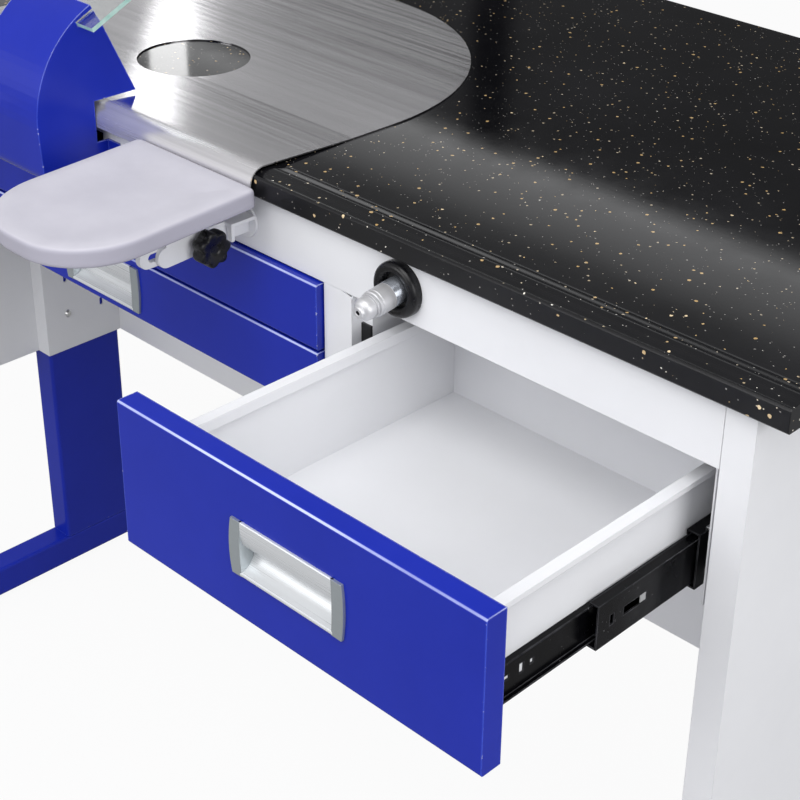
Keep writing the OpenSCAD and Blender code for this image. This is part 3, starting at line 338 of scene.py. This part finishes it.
def glass():
    s = Mat("shield_glass", (0.97, 0.995, 0.985), Roughness=0.02, IOR=1.5)
    s.set("Transmission Weight", 1.0)
    s.bump(s.noise(40, 1), 0.00001, 0.2)
    return s.m


def glass_rim():
    s = Mat("glass_rim", (0.50, 0.80, 0.72), Roughness=0.3)
    s.set("Transmission Weight", 0.25)
    s.to("Base Color", s.mix(s.ramp(s.noise(200, 2), 0.3, 0.7), (0.42, 0.74, 0.66), (0.66, 0.90, 0.84)))
    s.bump(s.noise(600, 2), 0.00003, 0.5)
    return s.m


def foam_skin():
    """Grained grey skin, with painted shade making the sides of the pad darker than the top."""
    s = Mat("pad_skin", (0.52, 0.51, 0.57), Roughness=0.5)
    s.set("Specular IOR Level", 0.3)
    cloud = s.noise(22, 3, 0.6)
    top = s.mix(s.ramp(cloud, 0.3, 0.7), (0.49, 0.48, 0.54), (0.54, 0.53, 0.59))
    # Painted shade: the darker side colour where the surface turns away from level
    s.to("Base Color", s.mix(s.ramp(s.normal_z(), 0.35, 0.85), (0.40, 0.39, 0.46), top))
    grain = s.noise(1500, 3, 0.65)
    s.to("Roughness", s.ramp(grain, 0.3, 0.7, 0.48, 0.62))
    s.bump(grain, 0.00008, 0.6)
    return s.m


steel = plate_steel()
white = powder("white_paint", (0.79, 0.795, 0.82), (0.77, 0.775, 0.80), 0.38, 0.00002, 0.35)
# The third blue is the painted highlight colour along the enamel's edges
BLUE, BLUE_SHADE, BLUE_PAINTED_HIGHLIGHT = (0.008, 0.022, 0.37), (0.006, 0.019, 0.34), (0.07, 0.13, 0.80)
blue = enamel("blue_paint", BLUE, BLUE_SHADE, BLUE_PAINTED_HIGHLIGHT, 0.22)
front_blue = enamel("front_paint", BLUE, BLUE_SHADE, BLUE_PAINTED_HIGHLIGHT, 0.22, fold=True)
slide = slide_finish()
handle_metal = satin("aluminium", (0.70, 0.72, 0.74), 0.3, 0.35)
handle_cap = satin("handle_cap", (0.42, 0.46, 0.48), 0.22, 0.6)
nozzle_metal = satin("nozzle_metal", (0.66, 0.66, 0.68), 0.46, 0.6, (2, 900, 2))
nozzle_base = satin("nozzle_base", (0.32, 0.34, 0.38), 0.25, 0.8, (2, 900, 2))
zinc = zinc_coat("zinc", (0.72, 0.72, 0.71), 0.3)
pad_skin = foam_skin()
black_plastic = plastic("black_plastic", (0.004, 0.004, 0.005), 0.28, 0.00001, 900, 0.32)
rubber = plastic("black_rubber", (0.006, 0.006, 0.007), 0.38, spec=0.4)
shield = glass()
slot_material = {
    "stone": stone(), "work_steel": steel, "white_paint": white, "blue_paint": blue,
    "slide_black": slide, "aluminium": handle_metal, "nozzle_metal": nozzle_metal, "zinc": zinc,
    "pad_skin": pad_skin, "black_plastic": black_plastic, "black_rubber": rubber,
    "shield_glass": shield,
}
for part in frame["record"]["subparts"]:
    paint(nodes[part["node"]], slot_material[part["material_slot"]])
for name in ("right_drawer_front", "upper_drawer_front", "lower_drawer_front"):
    paint(nodes[name], front_blue)


# Shared places, in metres, as in the CAD part

MM_PER_M = 1000
FRONT_Y, APRON_Y = -0.1937, -0.1857
SLAB_Z = 0.781
SEAT_X, REST_X = -0.129, 0.1745
PIVOT = Vector((0, FRONT_Y - 0.045, SLAB_Z - 0.028))
NOZZLE_Z = SLAB_Z - 0.0255


def smooth(t):
    """0 to 1 with level ends."""
    t = min(max(t, 0.0), 1.0)
    return t * t * (3 - 2 * t)


def add_piece(name, bm, material, body, level=0, flat=False):
    """A new object on one body, with an optional subdivision level."""
    me = bpy.data.meshes.new(name)
    bm.normal_update()
    bm.to_mesh(me)
    bm.free()
    for face in me.polygons:
        face.use_smooth = not flat
    obj = bpy.data.objects.new(name, me)
    scene.collection.objects.link(obj)
    if level:
        mod = obj.modifiers.new("fine", "SUBSURF")
        mod.levels = mod.render_levels = level
    paint(obj, material)
    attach(obj, body)
    return obj


def loft(rings):
    """Closed skin through rings of points, with a fan at each end."""
    bm = bmesh.new()
    rows = [[bm.verts.new(p) for p in ring] for ring in rings]
    n = len(rows[0])
    for low, high in zip(rows, rows[1:]):
        for i in range(n):
            bm.faces.new((low[i], low[(i + 1) % n], high[(i + 1) % n], high[i]))
    for row, turn in ((rows[0], True), (rows[-1], False)):
        mid = bm.verts.new(sum((v.co for v in row), Vector()) / n)
        for i in range(n):
            a, b = row[i], row[(i + 1) % n]
            bm.faces.new((b, a, mid) if turn else (a, b, mid))
    return bm


def sharpen(piece, angle):
    """Edges that turn by more than the angle in degrees stay crisp."""
    bm = bmesh.new()
    bm.from_mesh(piece.data)
    for edge in bm.edges:
        if len(edge.link_faces) == 2 and edge.calc_face_angle() > math.radians(angle):
            edge.smooth = False
    bm.to_mesh(piece.data)
    bm.free()


# Arm rest pads: moulded foam with a raised rim round a shallow dish

PAD_HALF, PAD_GAP, PAD_LENGTH = 0.0725, 0.003, 0.171
PAD_MIDDLE = Vector((0.0, -0.088))
PAD_TILT = math.radians(3)
PAD_BASE = SLAB_Z - 0.0065
PAD_TOP, PAD_RIM, PAD_DISH = 0.0160, 0.0008, 0.0016
PAD_FILL_RINGS = 22


def pad_outline():
    """Evenly spaced points round the hull of four corner circles."""
    count, samples = 176, 720
    back, left, right = 0.005, 0.065, 0.062
    # Each corner: centre x, centre y, radius
    corners = (
        (PAD_HALF - back, -PAD_GAP - back, back),
        (back - PAD_HALF, -PAD_GAP - back, back),
        (left - PAD_HALF, left - PAD_GAP - PAD_LENGTH, left),
        (PAD_HALF - right, right - PAD_GAP - PAD_LENGTH, right),
    )
    points = []
    for k in range(samples):
        a = 2 * math.pi * k / samples
        best = max(corners, key=lambda c: c[0] * math.cos(a) + c[1] * math.sin(a) + c[2])
        points.append(Vector((best[0] + best[2] * math.cos(a), best[1] + best[2] * math.sin(a))))
    lengths = [0.0]
    for p, q in zip(points, points[1:] + points[:1]):
        lengths.append(lengths[-1] + (q - p).length)
    out = []
    for i in range(count):
        want = lengths[-1] * i / count
        k = max(j for j in range(len(lengths)) if lengths[j] <= want + 1e-12)
        p, q = points[k % samples], points[(k + 1) % samples]
        span = (q - p).length
        share = (want - lengths[k]) / span if span > 1e-9 else 0
        out.append(p + (q - p) * share)
    return out


def rest_pad(side, body, node):
    """Rounded sides, then a raised rim that falls to a shallow dish. side is 1 right, -1 left."""
    edge = pad_outline()
    n = len(edge)
    normals = []
    for i in range(n):
        t = edge[(i + 1) % n] - edge[i - 1]
        normals.append(Vector((t.y, -t.x)).normalized())
    # Inset from the outline and height above the base, from the bottom to the rim
    sides = ((0.0030, 0.0001), (0.0012, 0.0003), (0.0003, 0.0012), (0.0, 0.0030), (0.0001, 0.0070),
             (0.0, 0.0110), (0.0, 0.0128), (0.0004, 0.0143), (0.0013, 0.0154), (0.0026, PAD_TOP))
    rings = [[(e - m * inset, z) for e, m in zip(edge, normals)] for inset, z in sides]
    start = [p for p, z in rings[-1]]
    for k in range(1, PAD_FILL_RINGS + 1):
        f = k / (PAD_FILL_RINGS + 1)
        # About how far this ring is from the edge
        inner = f * 0.075
        drop = PAD_DISH * smooth((inner - 0.004) / 0.03)
        lift = PAD_RIM * smooth(inner / 0.006)
        rings.append([(p + (PAD_MIDDLE - p) * f, PAD_TOP + lift - drop) for p in start])
    turn = Matrix.Rotation(PAD_TILT, 4, "X")
    tilt = Matrix.Translation(PIVOT) @ turn @ Matrix.Translation(-PIVOT)
    placed = []
    for ring in rings:
        row = []
        for p, z in ring:
            row.append(tilt @ Vector((SEAT_X + side * (REST_X + p.x), FRONT_Y + p.y, PAD_BASE + z)))
        placed.append(row if side > 0 else row[::-1])
    pad = add_piece(node.replace("pad", "cushion"), loft(placed), pad_skin, body, 1)
    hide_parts(node)


rest_pad(1, "right_rest", "right_rest_pad")
rest_pad(-1, "left_rest", "left_rest_pad")


# Lathed and moulded small parts

def revolve(profile, place):
    """Skin round the local Z axis through (radius, z) points, set in the scene by a matrix."""
    steps = 96
    angles = [2 * math.pi * i / steps for i in range(steps)]
    rings = []
    for r, z in profile:
        rings.append([place @ Vector((r * math.cos(a), r * math.sin(a), z)) for a in angles])
    return loft(rings)


def air_nozzle():
    """Base section, groove, shaft, two collars and a stepped nose with the blow hole, in mm."""
    low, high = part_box("air_nozzle")
    ring_low, ring_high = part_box("nozzle_ring")
    tilt, r, tip = math.radians(7), 10.5, 44.0
    base_end, bore = tip - 30, 1.75
    start = Vector(((low.x + high.x) / 2, APRON_Y, NOZZLE_Z))
    turn = Matrix.Rotation(math.pi / 2 + tilt, 4, "X")
    place = Matrix.Translation(start) @ turn @ Matrix.Scale(1 / MM_PER_M, 4)
    profile = [(r - 3, -30), (r - 3, -20), (r, -20), (r, tip - 30.4),
               (r - 0.3, tip - 30), (r - 0.3, tip - 29.6),
               (r - 0.1, tip - 29.2), (r - 0.1, tip - 18.4), (r - 0.5, tip - 18), (r - 0.5, tip - 17.2),
               (r - 0.2, tip - 17), (r - 0.2, tip - 15.2), (r - 0.6, tip - 14.8), (r - 2.1, tip - 14.6),
               (r - 2.1, tip - 13.6), (r - 0.9, tip - 13.4), (r - 0.9, tip - 12.2), (r - 2.5, tip - 12),
               (r - 2.5, tip - 11), (r - 1.7, tip - 10.8), (r - 1.7, tip - 7), (r - 2.1, tip - 5.4),
               (r - 3.1, tip - 3.9), (r - 4.6, tip - 2.9), (r - 5.4, tip - 2.7), (r - 5.6, tip - 0.5),
               (r - 6.0, tip), (2.1, tip),
               (1.8, tip - 0.3), (1.6, tip - 1), (1.5, tip - 6)]
    piece = add_piece("nozzle_body", revolve(profile, place), nozzle_metal, "nozzle")
    piece.data.materials.append(nozzle_base)
    piece.data.materials.append(rubber)
    inverse = place.inverted()
    for face in piece.data.polygons:
        spot = inverse @ face.center
        if spot.z < base_end:
            face.material_index = 1
        # Black rubber inside the short blow hole is painted shade standing in for a deeper bore
        elif math.hypot(spot.x, spot.y) < bore:
            face.material_index = 2
    sharpen(piece, 40)
    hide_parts("air_nozzle")


def rest_knob(side, body, node):
    """Star knob with its hub and stud, turned round the line through PIVOT."""
    low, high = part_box(node)
    radius, depth, lobes, steps = 0.01525, 0.014, 7, 168
    valley, hub_end = 0.19, depth + 0.0045
    front = high.x if side > 0 else low.x
    length = high.x - low.x
    # Each ring: share of the radius, how deep the lobes are, distance behind the face
    rings = [(0.19, 0, length - 0.0003), (0.19, 0, depth + 0.0050), (0.19, 0, depth + 0.0036),
             (0.5, 0, depth + 0.0033), (0.52, 0, depth - 0.0004), (0.80, 0.6, depth - 0.0004),
             (0.93, 0.9, depth - 0.0012), (0.98, 1, depth - 0.0024), (1.0, 1, depth * 0.6),
             (1.0, 1, 0.0030), (0.985, 1, 0.0013), (0.94, 1, 0.0003), (0.88, 0.95, 0.0),
             (0.72, 0.6, 0.0001), (0.56, 0.3, 0.0006), (0.42, 0.1, 0.0010), (0.34, 0, 0.0012),
             (0.31, 0, 0.0016), (0.28, 0, 0.0022)]
    rows = []
    for share, lobe, behind in rings:
        row = []
        for i in range(steps):
            a = 2 * math.pi * i / steps
            wave = 0.5 + 0.5 * math.cos(lobes * a)
            r = radius * share * (1 - lobe * valley * (1 - wave ** 0.7))
            y, z = PIVOT.y + side * r * math.cos(a), PIVOT.z + r * math.sin(a)
            row.append(Vector((front - side * behind, y, z)))
        rows.append(row)
    piece = add_piece(node.replace("knob", "grip"), loft(rows), black_plastic, body, 1)
    piece.data.materials.append(zinc)
    for face in piece.data.polygons:
        if abs(face.center.x - front) > hub_end:
            face.material_index = 1
    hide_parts(node)


PULL_HALF, PULL_TALL, PULL_CAP = 0.0520, 0.0214, 0.0095


def add_tube(bm, rings):
    """Quads between rings of points, and one face at each end."""
    rows = [[bm.verts.new(p) for p in ring] for ring in rings]
    n = len(rows[0])
    for a, b in zip(rows, rows[1:]):
        for i in range(n):
            bm.faces.new((a[i], a[(i + 1) % n], b[(i + 1) % n], b[i]))
    bm.faces.new(rows[0])
    bm.faces.new(rows[-1][::-1])


def pull_channel(mid):
    """Sloped lip over a scooped pocket, one section from cap to cap."""
    lap = 0.0012
    # Section in mm: depth behind the front's face, height above its middle
    section = [(-1.6, 21.4), (-2.0, 20.6), (-1.9, 16), (-1.1, 9), (0.3, 3.6), (1.3, 1.6),
               (2.2, 1.3), (2.6, 2.2), (1.9, 7), (1.6, 12), (4.5, 15.4), (8.6, 14.6), (11.0, 10),
               (11.7, 3), (11.2, -4), (9.2, -10.4), (5.8, -14.8), (2.4, -17), (-0.6, -17.8),
               (-1.9, -18.2), (-2.3, -19.2), (-2.2, -20.6), (-1.5, -21.4), (0, -21.4),
               (0.4, -19.4), (12.6, -18), (12.8, 17.6), (0.4, 19.2), (0, 21.4)]
    rings = []
    for x in (PULL_CAP - PULL_HALF - lap, PULL_HALF - PULL_CAP + lap):
        rings.append([mid + Vector((x, y / MM_PER_M, z / MM_PER_M)) for y, z in section])
    bm = bmesh.new()
    add_tube(bm, rings)
    bmesh.ops.recalc_face_normals(bm, faces=bm.faces)
    return bm


def pull_caps(mid):
    """Two end caps that bow outwards and forwards."""
    bm = bmesh.new()
    steps = 14
    for side in (-1, 1):
        rings = []
        for k in range(steps + 1):
            z = PULL_TALL * (2 * k / steps - 1)
            bow = 1 - (z / PULL_TALL) ** 2
            front = -0.0022 - 0.0004 * bow
            outer = side * (PULL_HALF + 0.0018 * bow)
            inner = side * (PULL_HALF - PULL_CAP + 0.0012 * bow)
            lip = inner - side * 0.0004
            root = inner + side * 0.004
            row = [(outer, 0.0001), (outer, front + 0.0005), (outer - side * 0.0005, front),
                   (inner, front + 0.0002), (lip, front + 0.0010), (lip, 0.0112),
                   (root, 0.0112), (root, 0.0001)]
            rings.append([mid + Vector((x, y, z)) for x, y in row])
        add_tube(bm, rings)
    bmesh.ops.recalc_face_normals(bm, faces=bm.faces)
    return bm


def pull(body, node):
    """Recessed pull: a channel between two end caps."""
    low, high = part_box(node)
    proud = 0.0026
    mid = Vector(((low.x + high.x) / 2, low.y + proud, (low.z + high.z) / 2))
    channel = add_piece(node + "_channel", pull_channel(mid), handle_metal, body)
    sharpen(channel, 24)
    caps = add_piece(node + "_caps", pull_caps(mid), handle_cap, body)
    sharpen(caps, 30)
    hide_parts(node)


air_nozzle()
rest_knob(1, "right_knob", "right_rest_knob")
rest_knob(-1, "left_knob", "left_rest_knob")
pull("right_drawer", "right_handle")
pull("upper_drawer", "upper_handle")
pull("lower_drawer", "lower_handle")


# Small metal parts of the right drawer's slide

def zinc_block(name, low, high, body):
    """A box between two corners given in mm."""
    bm = bmesh.new()
    bmesh.ops.create_cube(bm, size=1)
    for v in bm.verts:
        v.co = Vector([(a if c < 0 else b) / MM_PER_M for a, b, c in zip(low, high, v.co)])
    piece = add_piece(name, bm, zinc, body, flat=True)
    piece.modifiers.new("round", "BEVEL").width = 0.0003


zinc_block("slide_lever", (529.4, -233, 639.2), (530.3, -226.6, 645.2), "right_slide_middles_body")
zinc_block("slide_clip", (531.5, -166, 664.8), (538, -154, 667.8), "bench")


# Softer edges on carried over pieces

def shade_smooth(obj):
    for face in obj.data.polygons:
        face.use_smooth = True


def rounded(name, width):
    """Small round on every edge sharper than 35 degrees."""
    mod = nodes[name].modifiers.new("round", "BEVEL")
    mod.width = width
    mod.segments = 3
    mod.limit_method = "ANGLE"
    mod.angle_limit = math.radians(35)
    shade_smooth(nodes[name])


def eased(name):
    """Curved edges of a flat slab shade smooth, and its big faces stay flat."""
    obj = nodes[name]
    shade_smooth(obj)
    sharpen(obj, 40)
    obj.modifiers.new("even", "WEIGHTED_NORMAL").keep_sharp = True


eased("worktop")
for name in ("fixed_slides", "right_slide_middles", "right_slide_inners"):
    rounded(name, 0.0009)


# Rims of the glass shield

def paint_rim(name, material):
    """The narrow sides of a sheet get a material of their own."""
    mesh = nodes[name].data
    widest = max(mesh.polygons, key=lambda f: f.area).normal.copy()
    mesh.materials.append(material)
    for face in mesh.polygons:
        if abs(face.normal.dot(widest)) < 0.7:
            face.material_index = 1


paint_rim("glass_shield", glass_rim())


# Floor, world and lights

def make_floor():
    """White to the camera and through glass with a faint shadow, and grey in mirrors."""
    bm = bmesh.new()
    bmesh.ops.create_grid(bm, x_segments=1, y_segments=1, size=12)
    me = bpy.data.meshes.new("floor")
    bm.to_mesh(me)
    bm.free()
    floor = bpy.data.objects.new("floor", me)
    floor.location.z = -0.0005
    scene.collection.objects.link(floor)
    s = Mat("floor", (0.4, 0.4, 0.4), Roughness=0.9)
    s.set("Specular IOR Level", 0.0)
    s.to("Base Color", s.mix(s.ramp(s.noise(3, 2), 0.3, 0.7), (0.38, 0.38, 0.39), (0.40, 0.40, 0.41)))
    seen = s.node("ShaderNodeLightPath")
    glow = s.node("ShaderNodeEmission")
    glow.inputs["Color"].default_value = (1, 1, 1, 1)
    mirrored = seen.outputs["Is Glossy Ray"]
    clear = s.math("MAXIMUM", seen.outputs["Is Camera Ray"], seen.outputs["Is Transmission Ray"])
    bright = s.math("MAXIMUM", s.math("MULTIPLY", clear, 1.04), s.math("MULTIPLY", mirrored, 0.35))
    s.link(bright, glow.inputs["Strength"])
    rays = s.math("MAXIMUM", clear, mirrored)
    blend = s.node("ShaderNodeMixShader")
    s.link(s.math("MULTIPLY", rays, 0.9), blend.inputs[0])
    s.link(s.b.outputs[0], blend.inputs[1])
    s.link(glow.outputs[0], blend.inputs[2])
    s.link(blend.outputs[0], s.t.nodes["Material Output"].inputs["Surface"])
    paint(floor, s.m)


def make_world():
    """White backdrop, soft light from above, and a studio that only mirrors show."""
    world = bpy.data.worlds.new("studio")
    scene.world = world
    world.use_nodes = True
    t = world.node_tree
    link = t.links.new

    def node(kind, **props):
        n = t.nodes.new(kind)
        for k, v in props.items():
            setattr(n, k, v)
        return n

    def math_node(op, a, b):
        n = node("ShaderNodeMath", operation=op)
        for i, v in enumerate((a, b)):
            if isinstance(v, (int, float)):
                n.inputs[i].default_value = v
            else:
                link(v, n.inputs[i])
        return n.outputs[0]

    def ramp_node(value, stops):
        """Eased steps through (position, brightness) stops."""
        n = node("ShaderNodeValToRGB")
        ramp = n.color_ramp
        ramp.interpolation = "EASE"
        while len(ramp.elements) < len(stops):
            ramp.elements.new(0.5)
        for e, (at, v) in zip(ramp.elements, stops):
            e.position = at
            e.color = (v, v, v, 1)
        link(value, n.inputs[0])
        return n.outputs[0]

    axis = node("ShaderNodeSeparateXYZ")
    link(node("ShaderNodeTexCoord").outputs["Generated"], axis.inputs[0])
    x, y, z = axis.outputs
    # rise is the angle above the floor seen along X, and turn the angle from the back to the
    # left, both as a share of a half circle. The back wall is dark, with one black post, up to
    # a level edge with a bright band above it. The left is open, with a window.
    rise = math_node("MULTIPLY", math_node("ARCTAN2", z, y), 1 / math.pi)
    band_stops = ((0.1565, 0.08), (0.1590, 1.30), (0.1670, 0.75), (0.178, 0.18), (0.3, 0.25), (0.5, 0.4))
    band = ramp_node(rise, band_stops)
    leftward = math_node("ARCTAN2", math_node("MULTIPLY", x, -1), y)
    turn = math_node("MULTIPLY", leftward, 1 / math.pi)
    open_left = ramp_node(turn, ((0.262, 0.0), (0.284, 0.26), (0.45, 0.45), (0.8, 0.5)))
    post = ramp_node(turn, ((0.226, 1.0), (0.2285, 0.0), (0.2345, 0.0), (0.237, 1.0)))
    low = ramp_node(z, ((0.22, 0.9), (0.28, 0.0)))
    above = ramp_node(rise, ((0.1565, 0.0), (0.159, 1.0)))
    window_rise = ramp_node(rise, ((0.1445, 0.0), (0.150, 0.35), (0.175, 0.35), (0.2, 0.1)))
    window_turn = ramp_node(turn, ((0.280, 0.0), (0.287, 1.0), (0.302, 1.0), (0.308, 0.2)))
    window = math_node("MULTIPLY", window_rise, window_turn)
    back = math_node("MULTIPLY", band, math_node("MAXIMUM", post, above))
    glossy = back
    for part in (open_left, window, low):
        glossy = math_node("MAXIMUM", glossy, part)
    seen = node("ShaderNodeLightPath")
    clear = math_node("MAXIMUM", seen.outputs["Is Camera Ray"], seen.outputs["Is Transmission Ray"])
    value = math_node("MULTIPLY", glossy, seen.outputs["Is Glossy Ray"])
    plain = math_node("SUBTRACT", 1, math_node("MAXIMUM", clear, seen.outputs["Is Glossy Ray"]))
    sky = ramp_node(z, ((0.0, 0.16), (0.35, 0.62)))
    total = math_node("ADD", math_node("ADD", value, clear), math_node("MULTIPLY", plain, sky))
    link(total, t.nodes["Background"].inputs["Strength"])
    t.nodes["Background"].inputs["Color"].default_value = (0.985, 0.99, 1.0, 1)


def softbox(name, place, target, width, height, power):
    data = bpy.data.lights.new(name, "AREA")
    data.shape = "RECTANGLE"
    data.size, data.size_y = width, height
    data.energy = power
    lamp = bpy.data.objects.new(name, data)
    scene.collection.objects.link(lamp)
    lamp.location = place
    lamp.rotation_mode = "QUATERNION"
    lamp.rotation_quaternion = (Vector(target) - Vector(place)).to_track_quat("-Z", "Y")


make_floor()
make_world()
softbox("light_top", (0.7, -1.6, 2.8), (0.2, -0.3, 0.7), 2.0, 1.8, 44)
softbox("light_front", (-0.8, -3.2, 1.6), (0.1, -0.2, 0.6), 2.2, 1.6, 30)
softbox("light_right", (3.0, -0.6, 1.5), (0.3, -0.2, 0.6), 1.8, 1.6, 36)
softbox("light_back", (-3.29, 2.3, 2.19), (-0.14, -0.08, 0.8), 0.12, 0.38, 0.55)
